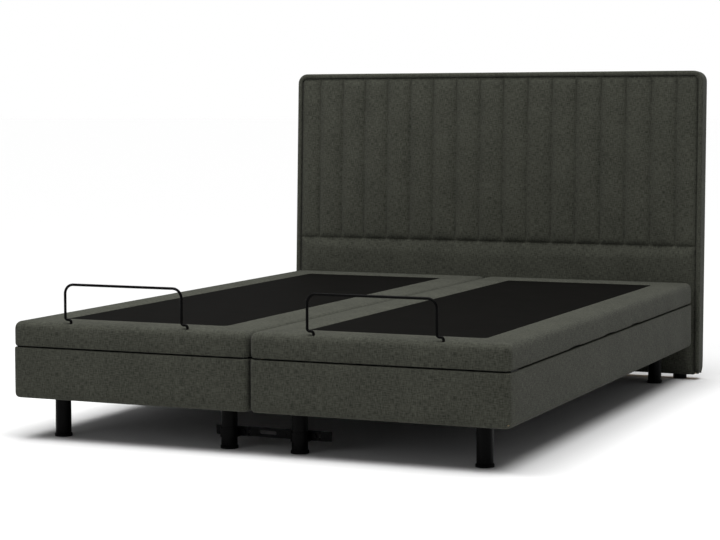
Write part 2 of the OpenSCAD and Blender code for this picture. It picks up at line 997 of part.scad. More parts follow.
module headboard_frame() {
    middle_rail = 0.55;
    inner_x = head_w / 2 - timber_w;
    inner_z = [timber_w, head_h - border_t - timber_w];
    color("burlywood")
        difference() {
            leaned() {
                difference() {
                    head_plate(border_t, timber_v, cloth_v);
                    block([-inner_x, inner_x], [timber_v - 1, cloth_v + 1], inner_z);
                }
                for (z = [fix_z - head_up - timber_w / 2, head_h * middle_rail])
                    block([-inner_x - 1, inner_x + 1], [timber_v, cloth_v], [z, z + timber_w]);
                block([-timber_w / 2, timber_w / 2], [timber_v, cloth_v], [inner_z[0] - 1, inner_z[1] + 1]);
            }
            headboard_bores(screw_d + 0.5);
        }
}

module headboard_back_cloth() {
    color([0.1, 0.1, 0.1])
        leaned()
            difference() {
                head_plate(border_t / 2, cloth_v, cloth_v + cloth_t);
                at_headboard_screws()
                    translate([0, 0, cloth_v - 1])
                        cylinder(d = screw_d * 3.2, h = 10);
            }
}

module headboard_feet() {
    foot_v = (cushion_t + front_t + timber_t) / 2 + 6;
    color("black")
        difference() {
            for (x = [-foot_x, -foot_x / 3, foot_x / 3, foot_x])
                translate([x, foot_y + base_l + head_gap + foot_v, 0])
                    cylinder(d = foot_d, h = head_up + 10);
            leaned()
                block([-head_w, head_w], [-100, 200], [0, 200]);
        }
}

module headboard_spacers() {
    spacer_out = 6;
    color([0.2, 0.2, 0.2])
        leaned()
            at_headboard_screws()
                difference() {
                    translate([0, 0, -spacer_out])
                        cylinder(d = spacer_d, h = cushion_t + spacer_out);
                    translate([0, 0, -10])
                        cylinder(d = screw_d + 0.5, h = cushion_t + 20);
                }
}

module headboard_screws() {
    into_base = 36;
    color("silver")
        leaned()
            at_headboard_screws() {
                translate([0, 0, -head_gap - into_base])
                    cylinder(d = screw_d, h = head_gap + into_base + cloth_v);
                translate([0, 0, cloth_v])
                    cylinder(d = screw_d * 3, h = 2);
                translate([0, 0, cloth_v + 2])
                    cylinder(d = screw_d * 1.7, h = 5, $fn = 6);
            }
}

box_frame(LEFT);  // box_frame_left
box_frame(RIGHT);  // box_frame_right
box_cover(LEFT);  // box_cover_left
box_cover(RIGHT);  // box_cover_right
dust_covers();
legs();
leg_caps();
leg_nuts();
subframe(LEFT);  // subframe_left
subframe(RIGHT);  // subframe_right
hinge_pins();
drive_housing(LEFT);  // drive_housing_left
drive_housing(RIGHT);  // drive_housing_right
drive_cover(LEFT);  // drive_cover_left
drive_cover(RIGHT);  // drive_cover_right
back_pusher(LEFT);  // back_pusher_left
back_pusher(RIGHT);  // back_pusher_right
leg_pusher(LEFT);  // leg_pusher_left
leg_pusher(RIGHT);  // leg_pusher_right
control_box();
cable_gland();
seat_board(LEFT);  // seat_board_left
seat_board(RIGHT);  // seat_board_right
seat_pad(LEFT);  // seat_pad_left
seat_pad(RIGHT);  // seat_pad_right
back_frame(LEFT);  // back_frame_left
back_frame(RIGHT);  // back_frame_right
back_board(LEFT);  // back_board_left
back_board(RIGHT);  // back_board_right
back_pad(LEFT);  // back_pad_left
back_pad(RIGHT);  // back_pad_right
thigh_frame(LEFT);  // thigh_frame_left
thigh_frame(RIGHT);  // thigh_frame_right
thigh_board(LEFT);  // thigh_board_left
thigh_board(RIGHT);  // thigh_board_right
thigh_pad(LEFT);  // thigh_pad_left
thigh_pad(RIGHT);  // thigh_pad_right
knee_pins(LEFT);  // knee_pins_left
knee_pins(RIGHT);  // knee_pins_right
calf_frame(LEFT);  // calf_frame_left
calf_frame(RIGHT);  // calf_frame_right
calf_board(LEFT);  // calf_board_left
calf_board(RIGHT);  // calf_board_right
calf_pad(LEFT);  // calf_pad_left
calf_pad(RIGHT);  // calf_pad_right
calf_glides(LEFT);  // calf_glides_left
calf_glides(RIGHT);  // calf_glides_right
retainer(LEFT);  // retainer_left
retainer(RIGHT);  // retainer_right
connector_bar();
connector_clamps();
connector_screws();
headboard_frame();
headboard_front();
headboard_cushion();
headboard_border();
headboard_back_cloth();
headboard_feet();
headboard_spacers();
headboard_screws();
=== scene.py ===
# %% [markdown]
# # An adjustable bed base, from frame to fabric
# The object is a double bed base made of two motorised single bases that stand
# side by side, with one quilted headboard behind them. Its hard parts already
# exist as a imported CAD model, and that model is the frame: every fabric piece
# below is built around it, in metres. The box covers and the headboard ride on
# the body that carries them. Loading it first means that no size has to be
# guessed later.

# %% Load the frame
import json
import math
import bmesh
import bpy
from mathutils import Matrix, Vector, noise

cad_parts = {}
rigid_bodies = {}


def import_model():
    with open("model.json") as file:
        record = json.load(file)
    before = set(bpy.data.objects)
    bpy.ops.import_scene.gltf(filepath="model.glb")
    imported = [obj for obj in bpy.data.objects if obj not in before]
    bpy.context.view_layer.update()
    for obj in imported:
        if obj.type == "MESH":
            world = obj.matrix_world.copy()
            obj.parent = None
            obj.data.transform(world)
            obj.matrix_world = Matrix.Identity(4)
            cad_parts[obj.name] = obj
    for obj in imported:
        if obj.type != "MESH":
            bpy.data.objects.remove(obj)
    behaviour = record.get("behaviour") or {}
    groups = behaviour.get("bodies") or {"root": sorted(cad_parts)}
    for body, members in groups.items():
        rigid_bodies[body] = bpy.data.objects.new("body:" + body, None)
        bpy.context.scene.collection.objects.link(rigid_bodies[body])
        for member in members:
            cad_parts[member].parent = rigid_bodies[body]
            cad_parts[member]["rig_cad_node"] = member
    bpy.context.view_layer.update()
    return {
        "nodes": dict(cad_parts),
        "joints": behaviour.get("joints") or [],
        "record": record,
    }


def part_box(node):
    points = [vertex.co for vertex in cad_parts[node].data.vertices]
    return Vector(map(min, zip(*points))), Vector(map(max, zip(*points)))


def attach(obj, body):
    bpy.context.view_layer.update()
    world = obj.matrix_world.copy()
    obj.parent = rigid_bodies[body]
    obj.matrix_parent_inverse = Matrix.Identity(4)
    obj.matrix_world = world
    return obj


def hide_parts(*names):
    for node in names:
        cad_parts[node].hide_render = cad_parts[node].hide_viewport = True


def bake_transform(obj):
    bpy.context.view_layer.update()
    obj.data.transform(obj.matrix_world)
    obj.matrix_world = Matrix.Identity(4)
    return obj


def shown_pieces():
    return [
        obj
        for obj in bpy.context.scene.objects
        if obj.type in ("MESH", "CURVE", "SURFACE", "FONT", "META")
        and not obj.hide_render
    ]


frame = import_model()

# %% [markdown]
# ## The sizes the frame gives
# The lower boxes, the deck and the hinges fix where every cover goes. We read
# them once and name them in plain words. The foot end is at low Y, the
# headboard at high Y, and each base has an outer side and a side that faces the
# middle of the bed.

# %% Read places and levels
MM = 0.001
SIDES = ("left", "right")
hinge_y = {j["name"]: j["pos_m"][1] for j in frame["joints"] if j["type"] == "hinge"}
knee_y = hinge_y["knee_hinge_left"]
thigh_y = hinge_y["thigh_hinge_left"]
back_y = hinge_y["back_hinge_left"]
box_low, box_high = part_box("box_cover_left")
outer_x, inner_x = box_low.x, box_high.x
foot_y, head_y = box_low.y, box_high.y
deck_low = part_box("seat_pad_left")[0].z
deck_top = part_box("seat_pad_left")[1].z
board_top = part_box("seat_board_left")[1].z
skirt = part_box("seat_board_left")[0].x - outer_x
print("deck from", round(deck_low, 4), "to", round(deck_top, 4), "skirt", round(skirt, 4))

# %% [markdown]
# ## The camera
# The camera stands to the right of the foot end, about five metres from it and
# one metre above the floor. A long lens keeps the bed's edges nearly parallel,
# and the camera's shift places the bed a little off centre.

# %% Set up the camera
camera_data = bpy.data.cameras.new("Camera")
camera_data.lens = 97.2
camera_data.sensor_width = 36
camera_data.shift_x = -0.0454
camera_data.shift_y = -0.0863
camera = bpy.data.objects.new("Camera", camera_data)
camera.location = (2.5472, -6.0066, 1.0034)
camera.rotation_euler = (math.pi / 2 - 0.052, 0.0025, 0.400)
bpy.context.scene.collection.objects.link(camera)
bpy.context.scene.camera = camera
print("camera at", tuple(camera.location))

# %% [markdown]
# ## Working by hand, in code
# Each piece starts as a primitive at its size and place and is then shaped in
# edit mode, as one would with the mouse. A few small helpers do the clicking.
# The main ones select an object alone, add a cube that fills a given box, and
# select vertices, edges or faces by a test on where they are.

# %% Helpers for objects and selection
def alone(piece):
    """Selects one object only, and makes it the active one."""
    bpy.ops.object.select_all(action="DESELECT")
    piece.select_set(True)
    bpy.context.view_layer.objects.active = piece
    return piece


def settle():
    """Writes the active object's place, turn and scale into its mesh."""
    bpy.ops.object.transform_apply(location=True, rotation=True, scale=True)


def new_cube(name, low, high):
    """Adds a cube that fills the box from low to high."""
    low, high = Vector(low), Vector(high)
    bpy.ops.object.select_all(action="DESELECT")
    bpy.ops.mesh.primitive_cube_add(size=1, location=(low + high) / 2)
    piece = bpy.context.object
    piece.name = piece.data.name = name
    piece.scale = high - low
    settle()
    return piece


def copy_of(piece, name):
    """Copies an object with a mesh of its own."""
    twin = piece.copy()
    twin.data = piece.data.copy()
    twin.name = twin.data.name = name
    bpy.context.scene.collection.objects.link(twin)
    return twin


def middle(item):
    """The middle of a vertex, an edge or a face."""
    if isinstance(item, bmesh.types.BMVert):
        return item.co
    if isinstance(item, bmesh.types.BMEdge):
        return (item.verts[0].co + item.verts[1].co) / 2
    return item.calc_center_median()


def pick(kind, test):
    """In edit mode, selects each VERT, EDGE or FACE that passes the test."""
    bpy.ops.mesh.select_mode(type=kind)
    bpy.ops.mesh.select_all(action="DESELECT")
    data = bpy.context.object.data
    mesh = bmesh.from_edit_mesh(data)
    items = {"VERT": mesh.verts, "EDGE": mesh.edges, "FACE": mesh.faces}[kind]
    found = [item for item in items if test(item)]
    for item in found:
        item.select_set(True)
    mesh.select_flush_mode()
    bmesh.update_edit_mesh(data)
    return len(found)


def edit(piece):
    """Opens one object in edit mode."""
    alone(piece)
    bpy.ops.object.mode_set(mode="EDIT")


def close():
    """Leaves edit mode."""
    bpy.ops.object.mode_set(mode="OBJECT")


# %% [markdown]
# Flat faces of fabric need rows of points before they can swell or bend. The
# loop cut tool needs a window, so rows are cut with bisect, one plane at a time.
# One helper extrudes what is selected. The last three finish a mesh: one applies
# a modifier, one merges doubles and turns all faces outwards, and one shades it.

# %% Helpers for cutting and finishing
def slice_at(axis, places):
    """Cuts the open mesh with planes square to an axis, 0 to 2, at these places."""
    for place in places:
        bpy.ops.mesh.select_all(action="SELECT")
        point, normal = [0, 0, 0], [0, 0, 0]
        point[axis], normal[axis] = place, 1
        bpy.ops.mesh.bisect(plane_co=point, plane_no=normal)


def extrude_by(x, y, z):
    """Extrudes what is selected by an offset."""
    bpy.ops.mesh.extrude_region_move(TRANSFORM_OT_translate={"value": (x, y, z)})


def rows(start, end, step):
    """Even places from start to end, both left out, about step apart."""
    count = max(1, round(abs(end - start) / step))
    return [start + (end - start) * i / count for i in range(1, count)]


def modify(piece, kind, **settings):
    """Adds one modifier and applies it."""
    alone(piece)
    modifier = piece.modifiers.new(kind.title(), kind)
    for name, value in settings.items():
        setattr(modifier, name, value)
    bpy.ops.object.modifier_apply(modifier=modifier.name)


def face_out(piece):
    """Merges doubles and turns every face outwards."""
    edit(piece)
    bpy.ops.mesh.select_all(action="SELECT")
    bpy.ops.mesh.remove_doubles(threshold=0.00002)
    bpy.ops.mesh.normals_make_consistent(inside=False)
    close()


def smooth(piece, degrees=50):
    """Shades the piece smooth, apart from edges sharper than this angle."""
    alone(piece)
    bpy.ops.object.shade_smooth_by_angle(angle=math.radians(degrees))


# %% [markdown]
# ## A cover that swells
# Upholstery is never quite flat: foam pushes the fabric out wherever nothing
# holds it down. Cloth simulation gives that for free. The held points stay
# where they are, pressure pushes the rest out for twenty frames, and a cap
# keeps any point from moving further than real foam would let it. Fabric that
# is pulled round a corner can't swell, so one test finds the corner points.

# %% Helpers for the cloth simulation
def at_corner(p, reach):
    """Whether a point lies in one of the four upright corners of the left base."""
    from_side = min(abs(p.x - outer_x), abs(p.x - inner_x))
    from_end = min(abs(p.y - foot_y), abs(p.y - head_y))
    return from_side < reach and from_end < reach


def hold(piece, test):
    """Makes the vertex group of points that the simulation may not move."""
    group = piece.vertex_groups.new(name="held")
    held = [v.index for v in piece.data.vertices if test(v.co)]
    group.add(held, 1.0, "REPLACE")
    return len(held)


def swell(piece, pressure, cap, frames=20):
    """Blows a held cover up by cloth simulation, and applies the result."""
    start = [v.co.copy() for v in piece.data.vertices]
    alone(piece)
    cloth = piece.modifiers.new("Cloth", "CLOTH")
    cloth.settings.quality = 5
    cloth.settings.tension_stiffness = 15
    cloth.settings.compression_stiffness = 15
    cloth.settings.shear_stiffness = 5
    cloth.settings.bending_stiffness = 0.5
    cloth.settings.use_pressure = True
    cloth.settings.uniform_pressure_force = pressure
    cloth.settings.effector_weights.gravity = 0
    cloth.settings.vertex_group_mass = "held"
    cloth.collision_settings.use_collision = False
    cloth.point_cache.frame_start = 1
    cloth.point_cache.frame_end = frames
    for number in range(1, frames + 1):
        bpy.context.scene.frame_set(number)
    bpy.ops.object.modifier_apply(modifier=cloth.name)
    bpy.context.scene.frame_set(1)
    furthest = 0.0
    for vertex, before in zip(piece.data.vertices, start):
        move = vertex.co - before
        if move.length > cap:
            vertex.co = before + move * (cap / move.length)
        furthest = max(furthest, min(cap, move.length))
    return furthest


# %% [markdown]
# ## The padded deck of one base
# The deck is a board hinged in four sections under one sewn cover: firm foam,
# 25 mm thick over the board and 35 mm thick round the edge, where it hangs down
# as a skirt. Here it is modelled as one tray turned upside down, so that the
# fabric runs over the hinges without a break. It starts as a cube whose edges
# are rounded with bevels before any row is cut, because a bevel can't be wider
# than the nearest row.

# %% Rough out the tray
CORNER_R = 24 * MM
TOP_R = 22 * MM
LOW_R = 6 * MM
INSET = 1.5 * MM

tray = new_cube(
    "deck_cover",
    (outer_x + INSET, foot_y + INSET, deck_low),
    (inner_x - INSET / 2, head_y - INSET, deck_top),
)
edit(tray)
pick("EDGE", lambda e: abs(e.verts[0].co.z - e.verts[1].co.z) > 10 * MM)
bpy.ops.mesh.bevel(offset=CORNER_R, segments=5, affect="EDGES")
pick("EDGE", lambda e: all(v.co.z > deck_top - MM for v in e.verts))
bpy.ops.mesh.bevel(offset=TOP_R, segments=5, affect="EDGES")
pick("EDGE", lambda e: all(v.co.z < deck_low + MM for v in e.verts))
bpy.ops.mesh.bevel(offset=LOW_R, segments=2, affect="EDGES")
close()
print("tray", len(tray.data.polygons), "faces, corners rounded to", CORNER_R / MM, "mm")

# %% [markdown]
# The black panel in the deck's top leaves a grey rim of uneven width: wider at
# the head and on the side that faces the other base. The panel's edges and the
# skirt's inner edge become cuts, and further rows are spread between them,
# closer together over the hinges, where the cover has to bend.

# %% Cut the rows
RIM_OUTER = 118 * MM
RIM_INNER = 133 * MM
RIM_FOOT = 126 * MM
RIM_HEAD = 141 * MM
ROW = 24 * MM
BEND_ROW = 10 * MM
BEND = 70 * MM

panel_x = (outer_x + RIM_OUTER, inner_x - RIM_INNER)
panel_y = (foot_y + RIM_FOOT, head_y - RIM_HEAD)
skirt_x = (outer_x + skirt, inner_x - skirt)
skirt_y = (foot_y + skirt, head_y - skirt)


def between(marks, step):
    """The marks themselves, apart from the two ends, and even places between them."""
    places = list(marks[1:-1])
    for a, b in zip(marks, marks[1:]):
        places += rows(a, b, step)
    return sorted(places)


EDGE_ROW = INSET + CORNER_R + 3 * MM
edge_x = (outer_x + EDGE_ROW, inner_x - EDGE_ROW)
edge_y = (foot_y + EDGE_ROW, head_y - EDGE_ROW)
across = between(
    (edge_x[0], skirt_x[0], panel_x[0], panel_x[1], skirt_x[1], edge_x[1]), ROW
)
along = between(
    (edge_y[0], skirt_y[0], panel_y[0], knee_y - BEND), ROW
) + between((knee_y + BEND, thigh_y - BEND), ROW) + between(
    (thigh_y + BEND, back_y - BEND), ROW
) + between((back_y + BEND, panel_y[1], skirt_y[1], edge_y[1]), ROW)
for y in (knee_y, thigh_y, back_y):
    along += [y - BEND, y + BEND] + rows(y - BEND, y + BEND, BEND_ROW)
across += edge_x
along += edge_y
edit(tray)
slice_at(0, across)
slice_at(1, along)
slice_at(2, rows(deck_low + LOW_R, deck_top - TOP_R, 13 * MM))
close()
print("rows", len(across), "across,", len(along), "along,", len(tray.data.polygons), "faces")

# %% [markdown]
# Two pushes make the shape. The faces under the board are extruded up to the
# board's top, which leaves the skirt standing round them. The panel's faces are
# extruded down by the thickness of the black cloth, and that gives the crisp
# step where grey meets black.

# %% Hollow the tray and sink the panel
PANEL_T = 3 * MM
HINGE_ROOM = 6 * MM


def inside(point, x, y, spare=0.0):
    """Whether a point lies in a rectangle seen from above."""
    return x[0] - spare < point.x < x[1] + spare and y[0] - spare < point.y < y[1] + spare


edit(tray)
pick("FACE", lambda f: f.normal.z < -0.9 and inside(middle(f), skirt_x, skirt_y))
extrude_by(0, 0, board_top - deck_low)
pick("FACE", lambda f: f.normal.z > 0.9 and inside(middle(f), panel_x, panel_y))
extrude_by(0, 0, -PANEL_T)
# over a hinge, the underside keeps clear of the ends of the boards
pick("VERT", lambda v: abs(v.co.z - board_top) < MM and inside(v.co, skirt_x, skirt_y, MM)
     and min(abs(v.co.y - y) for y in (knee_y, thigh_y, back_y)) < BEND - 5 * MM)
bpy.ops.transform.translate(value=(0, 0, HINGE_ROOM))
close()
face_out(tray)
print("tray", len(tray.data.polygons), "faces")

# %% [markdown]
# The lower edge of the real cover rises a little where it crosses a hinge, so
# that it doesn't rub on the box when a section lifts. Moving those few points
# with proportional editing pulls their neighbours along, as a hand would.

# %% Lift the lower edge over the hinges
EDGE_LIFT = 3 * MM
edit(tray)
for y in (knee_y, thigh_y, back_y):
    pick("VERT", lambda v: v.co.z < deck_low + MM and abs(v.co.y - y) < 12 * MM)
    bpy.ops.transform.translate(
        value=(0, 0, EDGE_LIFT),
        use_proportional_edit=True,
        use_proportional_connected=True,
        proportional_edit_falloff="SMOOTH",
        proportional_size=60 * MM,
    )
close()
print("lowest points", round(min(v.co.z for v in tray.data.vertices), 4))

# %% [markdown]
# The underside, the sunk panel and the skirt's lower edge are held, as glue and
# staples hold them on the real deck. The rounded corners and edges are held too,
# since pulling fabric over them keeps them tight, and the flat faces between
# them swell. One subdivision then rounds off what is left of the rows.

# %% Swell the deck cover
ROUND = INSET + TOP_R + 2 * MM
flat_x = (outer_x + ROUND, inner_x - ROUND)
flat_y = (foot_y + ROUND, head_y - ROUND)
held = hold(
    tray,
    lambda p: p.z < deck_low + LOW_R + MM
    or at_corner(p, INSET + CORNER_R + 2 * MM)
    or (p.z > deck_top - TOP_R - MM and not inside(p, flat_x, flat_y))
    or inside(p, panel_x, panel_y, 0.5 * MM)
    or (p.z < board_top + 7 * MM and inside(p, skirt_x, skirt_y, 0.5 * MM)),
)
moved = swell(tray, pressure=4.0, cap=4 * MM)
modify(tray, "SUBSURF", levels=1, render_levels=1)
smooth(tray, 60)
print("deck cover", held, "held, swelled", round(moved / MM, 2), "mm")

# %% [markdown]
# ## The black panel
# A hard-wearing black cloth lies in the sunk part of the deck, where the
# mattress rests, because nobody sees it and it stops the mattress from sliding.
# It is a thin sheet of its own, cut from a plane with the same rows as the
# cover under it.

# %% Cut the black cloth
EDGE_GAP = 0.6 * MM
CLOTH_GAP = 0.3 * MM
CLOTH_T = 1.7 * MM
bpy.ops.object.select_all(action="DESELECT")
bpy.ops.mesh.primitive_plane_add(size=1)
cloth_panel = bpy.context.object
cloth_panel.name = cloth_panel.data.name = "panel_cloth"
cloth_panel.scale = (
    panel_x[1] - panel_x[0] - 2 * EDGE_GAP, panel_y[1] - panel_y[0] - 2 * EDGE_GAP, 1
)
cloth_panel.location = (
    sum(panel_x) / 2, sum(panel_y) / 2, deck_top - PANEL_T + CLOTH_GAP
)
settle()
edit(cloth_panel)
slice_at(0, [x for x in across if panel_x[0] + MM < x < panel_x[1] - MM])
slice_at(1, [y for y in along if panel_y[0] + MM < y < panel_y[1] - MM])
bpy.ops.mesh.select_all(action="SELECT")
extrude_by(0, 0, CLOTH_T)
close()
face_out(cloth_panel)
smooth(cloth_panel, 40)
print("black cloth", len(cloth_panel.data.polygons), "faces")

# %% [markdown]
# ## Fabric coordinates
# A weave follows the cloth, so each fabric piece gets a UV map in metres. Cube
# projection lays every face flat along its nearest axis. With a cube size of
# one, one unit of the map is one metre, and the pattern can be given in real
# thread sizes. The map is made before the deck is cut into sections, so the
# weave runs on over the cuts.

# %% Lay the weave
def lay_weave(piece):
    """Gives a piece UVs in metres by cube projection."""
    edit(piece)
    bpy.ops.mesh.select_all(action="SELECT")
    bpy.ops.uv.cube_project(cube_size=1.0, correct_aspect=False)
    close()
    points = [loop.uv for loop in piece.data.uv_layers[0].data]
    return [round(max(p[i] for p in points) - min(p[i] for p in points), 3) for i in (0, 1)]


print("deck cover map, metres", lay_weave(tray))
print("black cloth map, metres", lay_weave(cloth_panel))

# %% [markdown]
# ## Three pieces a side
# Each base has three hinges, and the deck is cut twice, in the middle of the
# thigh and of the seat, where it never bends. So the deck is cut twice, in the
# middle of the thigh and of the seat, where it never bends. Every cut is
# filled, which keeps each piece a closed solid. The right base is the mirror
# image of the left, with its faces turned back outwards.

# %% Cut and mirror the deck
CUTS = {
    "foot": (None, (knee_y + thigh_y) / 2),
    "seat": ((knee_y + thigh_y) / 2, (thigh_y + back_y) / 2),
    "back": ((thigh_y + back_y) / 2, None),
}


def section(master, name, low, high):
    """Copies a master and keeps the part of it between two places along the bed."""
    piece = copy_of(master, name)
    edit(piece)
    if low is not None:
        bpy.ops.mesh.select_all(action="SELECT")
        bpy.ops.mesh.bisect(
            plane_co=(0, low, 0), plane_no=(0, 1, 0), use_fill=True, clear_inner=True
        )
    if high is not None:
        bpy.ops.mesh.select_all(action="SELECT")
        bpy.ops.mesh.bisect(
            plane_co=(0, high, 0), plane_no=(0, 1, 0), use_fill=True, clear_outer=True
        )
    close()
    return piece


def mirror_over(piece):
    """Mirrors a piece over the middle of the bed, faces outwards."""
    piece.data.transform(Matrix.Scale(-1, 4, (1, 0, 0)))
    edit(piece)
    bpy.ops.mesh.select_all(action="SELECT")
    bpy.ops.mesh.flip_normals()
    close()
    return piece


deck = {}
for side in SIDES:
    for place, (low, high) in CUTS.items():
        for part, master in (("cover", tray), ("panel", cloth_panel)):
            piece = section(master, f"deck_{part}_{place}_{side}", low, high)
            if side == "right":
                mirror_over(piece)
            smooth(piece, 50)
            deck[part, place, side] = piece
for master in (tray, cloth_panel):
    bpy.data.objects.remove(master)
print(len(deck), "deck pieces")

# %% [markdown]
# Each piece has its place written into its mesh, and the CAD pads that it
# stands for are hidden. The table gives what each piece follows: the foot piece
# belongs to the calf section before the knee and to the thigh section after it,
# and so on up the bed. The zone in which it turns is as long as the rows that
# were cut closer.

# %% Bake the deck pieces and hide the pads they stand for
TURN = {
    "foot": ("calf", "thigh", knee_y, 60 * MM),
    "seat": ("thigh", "root", thigh_y, 50 * MM),
    "back": ("root", "back", back_y, 60 * MM),
}
STANDS_FOR = {"foot": ("calf_pad", "thigh_pad"), "seat": ("seat_pad",), "back": ("back_pad",)}


for (part, place, side), piece in deck.items():
    first, second, y, reach = TURN[place]
    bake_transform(piece)
    if part == "cover":
        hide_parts(*[f"{node}_{side}" for node in STANDS_FOR[place]])

# %% [markdown]
# ## The upholstered lower box
# Under each deck stands a box of softwood boards, wrapped in thin wadding and
# the same fabric, which is turned in over the top edge and under the bottom.
# It starts as a cube too. The corners are rounded more than the edges, since
# the fabric is pulled tight round them, and the top and bottom are opened so
# that the drive inside can be seen when a section is up.

# %% Rough out the box cover
BOX_CORNER_R = 20 * MM
BOX_LOW_R = 14 * MM
BOX_TOP_R = 4 * MM
BOX_GAP = 0.5 * MM
BOX_ROW = 26 * MM
BOX_ROWS_FROM = 40 * MM
HEM = 30 * MM
WALL = 18 * MM


def box_cover(name):
    """One upholstered box, open at the top and the bottom."""
    piece = new_cube(
        name,
        (outer_x + INSET, foot_y + INSET, box_low.z + BOX_GAP),
        (inner_x - INSET / 2, head_y - INSET / 2, box_high.z - BOX_GAP),
    )
    edit(piece)
    pick("EDGE", lambda e: abs(e.verts[0].co.z - e.verts[1].co.z) > 10 * MM)
    bpy.ops.mesh.bevel(offset=BOX_CORNER_R, segments=5, affect="EDGES")
    pick("EDGE", lambda e: all(v.co.z < box_low.z + MM for v in e.verts))
    bpy.ops.mesh.bevel(offset=BOX_LOW_R, segments=4, affect="EDGES")
    pick("EDGE", lambda e: all(v.co.z > box_high.z - MM for v in e.verts))
    bpy.ops.mesh.bevel(offset=BOX_TOP_R, segments=3, affect="EDGES")
    # the turned-in top and bottom: the flat middle of each is inset and removed
    pick("FACE", lambda f: f.normal.z > 0.99)
    bpy.ops.mesh.inset(thickness=WALL, use_even_offset=True)
    bpy.ops.mesh.delete(type="FACE")
    pick("FACE", lambda f: f.normal.z < -0.99)
    bpy.ops.mesh.inset(thickness=HEM, use_even_offset=True)
    bpy.ops.mesh.delete(type="FACE")
    slice_at(0, rows(outer_x + BOX_ROWS_FROM, inner_x - BOX_ROWS_FROM, BOX_ROW))
    slice_at(1, rows(foot_y + BOX_ROWS_FROM, head_y - BOX_ROWS_FROM, BOX_ROW))
    slice_at(2, rows(box_low.z + BOX_LOW_R, box_high.z - BOX_TOP_R, 20 * MM))
    close()
    return piece


box_master = box_cover("box_cover_fabric")
print("box cover", len(box_master.data.polygons), "faces")

# %% [markdown]
# The turned-in edges are stapled down, the corners are pulled tight, and the
# walls swell a little between them. The fabric and its wadding are 2.4 mm
# thick, and Solidify gives them that thickness inwards.

# %% Swell and thicken the box cover
FABRIC_T = 2.4 * MM
hold(
    box_master,
    lambda p: p.z > box_high.z - BOX_TOP_R - 2 * MM
    or p.z < box_low.z + BOX_LOW_R + 2 * MM
    or at_corner(p, INSET + BOX_CORNER_R + 2 * MM),
)
moved = swell(box_master, pressure=3.0, cap=2.5 * MM)
modify(box_master, "SOLIDIFY", thickness=FABRIC_T, offset=-1)
modify(box_master, "SUBSURF", levels=1, render_levels=1)
face_out(box_master)
smooth(box_master, 60)
lay_weave(box_master)
for side in SIDES:
    piece = copy_of(box_master, f"box_fabric_{side}")
    if side == "right":
        mirror_over(piece)
    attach(piece, "root")
    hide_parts(f"box_cover_{side}")
bpy.data.objects.remove(box_master)
print("box covers swelled", round(moved / MM, 2), "mm,", len(piece.data.polygons), "faces each")

# %% [markdown]
# ## The headboard
# The headboard leans back a little. It is easier to model it upright, with its
# lower front edge at Y zero and height zero, and to lean it at the end. Its
# face has two parts under a sewn cross seam: a plain panel below, behind the
# mattress, and upright channels above it.

# %% Read the headboard's size
LEAN = math.radians(2.2)
head_low, head_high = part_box("headboard_border")
head_w = head_high.x - head_low.x
head_z = head_low.z
HEAD_H = 1116 * MM
HEAD_GAP = 8 * MM
BORDER = 18 * MM
head_front = head_y + HEAD_GAP
print("headboard", round(head_w, 3), "wide, from", round(head_z, 4))

# %% [markdown]
# The quilted face starts as a grid in which every seam falls on a column. Real
# channels are sewn first and stuffed after, so the seams are the held points.
# Two more cuts beside each seam keep the fold at the seam narrow.

# %% Draw the grid of the quilt
CHANNELS = 17
CHANNEL_COLS = 12
END_COLS = 10
COLS = (CHANNELS - 2) * CHANNEL_COLS + 2 * END_COLS
PLAIN_ROWS = 36
ROWS = 84
TOP_MARGIN = 1
SEAM_DEPTH = 9 * MM
STITCH_DEPTH = 4 * MM
SEAM_HALF = 2.6 * MM
FULLNESS = 3.6
CHANNEL_END = 26 * MM
PLAIN_EDGE = 30 * MM
WOBBLE = 2.2 * MM
WOBBLE_FADE = 60 * MM
WOBBLE_PER_M = 11

quilt_w = head_w - 2 * BORDER
quilt_h = HEAD_H - BORDER
col = quilt_w / COLS
row = quilt_h / ROWS
channel_w = col * CHANNEL_COLS
seams = [-quilt_w / 2 + (END_COLS + i * CHANNEL_COLS) * col for i in range(CHANNELS - 1)]
cross_z = PLAIN_ROWS * row
seam_top = quilt_h - TOP_MARGIN * row

bpy.ops.object.select_all(action="DESELECT")
bpy.ops.mesh.primitive_grid_add(
    x_subdivisions=COLS, y_subdivisions=ROWS, size=1,
    location=(0, 0, quilt_h / 2), rotation=(math.pi / 2, 0, 0),
)
quilt = bpy.context.object
quilt.name = quilt.data.name = "headboard_quilt"
quilt.scale = (quilt_w, quilt_h, 1)
settle()
edit(quilt)
slice_at(0, [x + side * SEAM_HALF for x in seams for side in (-1, 1)])
slice_at(2, [cross_z - SEAM_HALF, cross_z + SEAM_HALF])
close()
print("quilt", len(quilt.data.polygons), "faces, channels of", round(channel_w / MM, 1), "mm")

# %% [markdown]
# The seams are pulled back to their depth and held, with the outer edge, and
# pressure stuffs the rest. No seam is sewn quite straight, so a little noise
# moves every point sideways, by the same amount as its neighbours.

# %% Sew and stuff the quilt
def near_seam(x, reach):
    """Whether a place across the headboard is within reach of a channel seam."""
    return min(abs(x - s) for s in seams) < reach


def sewn(p):
    """Whether a point of the quilt lies on a seam or on the outer edge."""
    upright = near_seam(p.x, 0.3 * MM) and cross_z < p.z < seam_top + MM
    cross = abs(p.z - cross_z) < 0.3 * MM
    edge = abs(p.x) > quilt_w / 2 - MM or p.z < MM or p.z > quilt_h - MM
    return upright or cross or edge


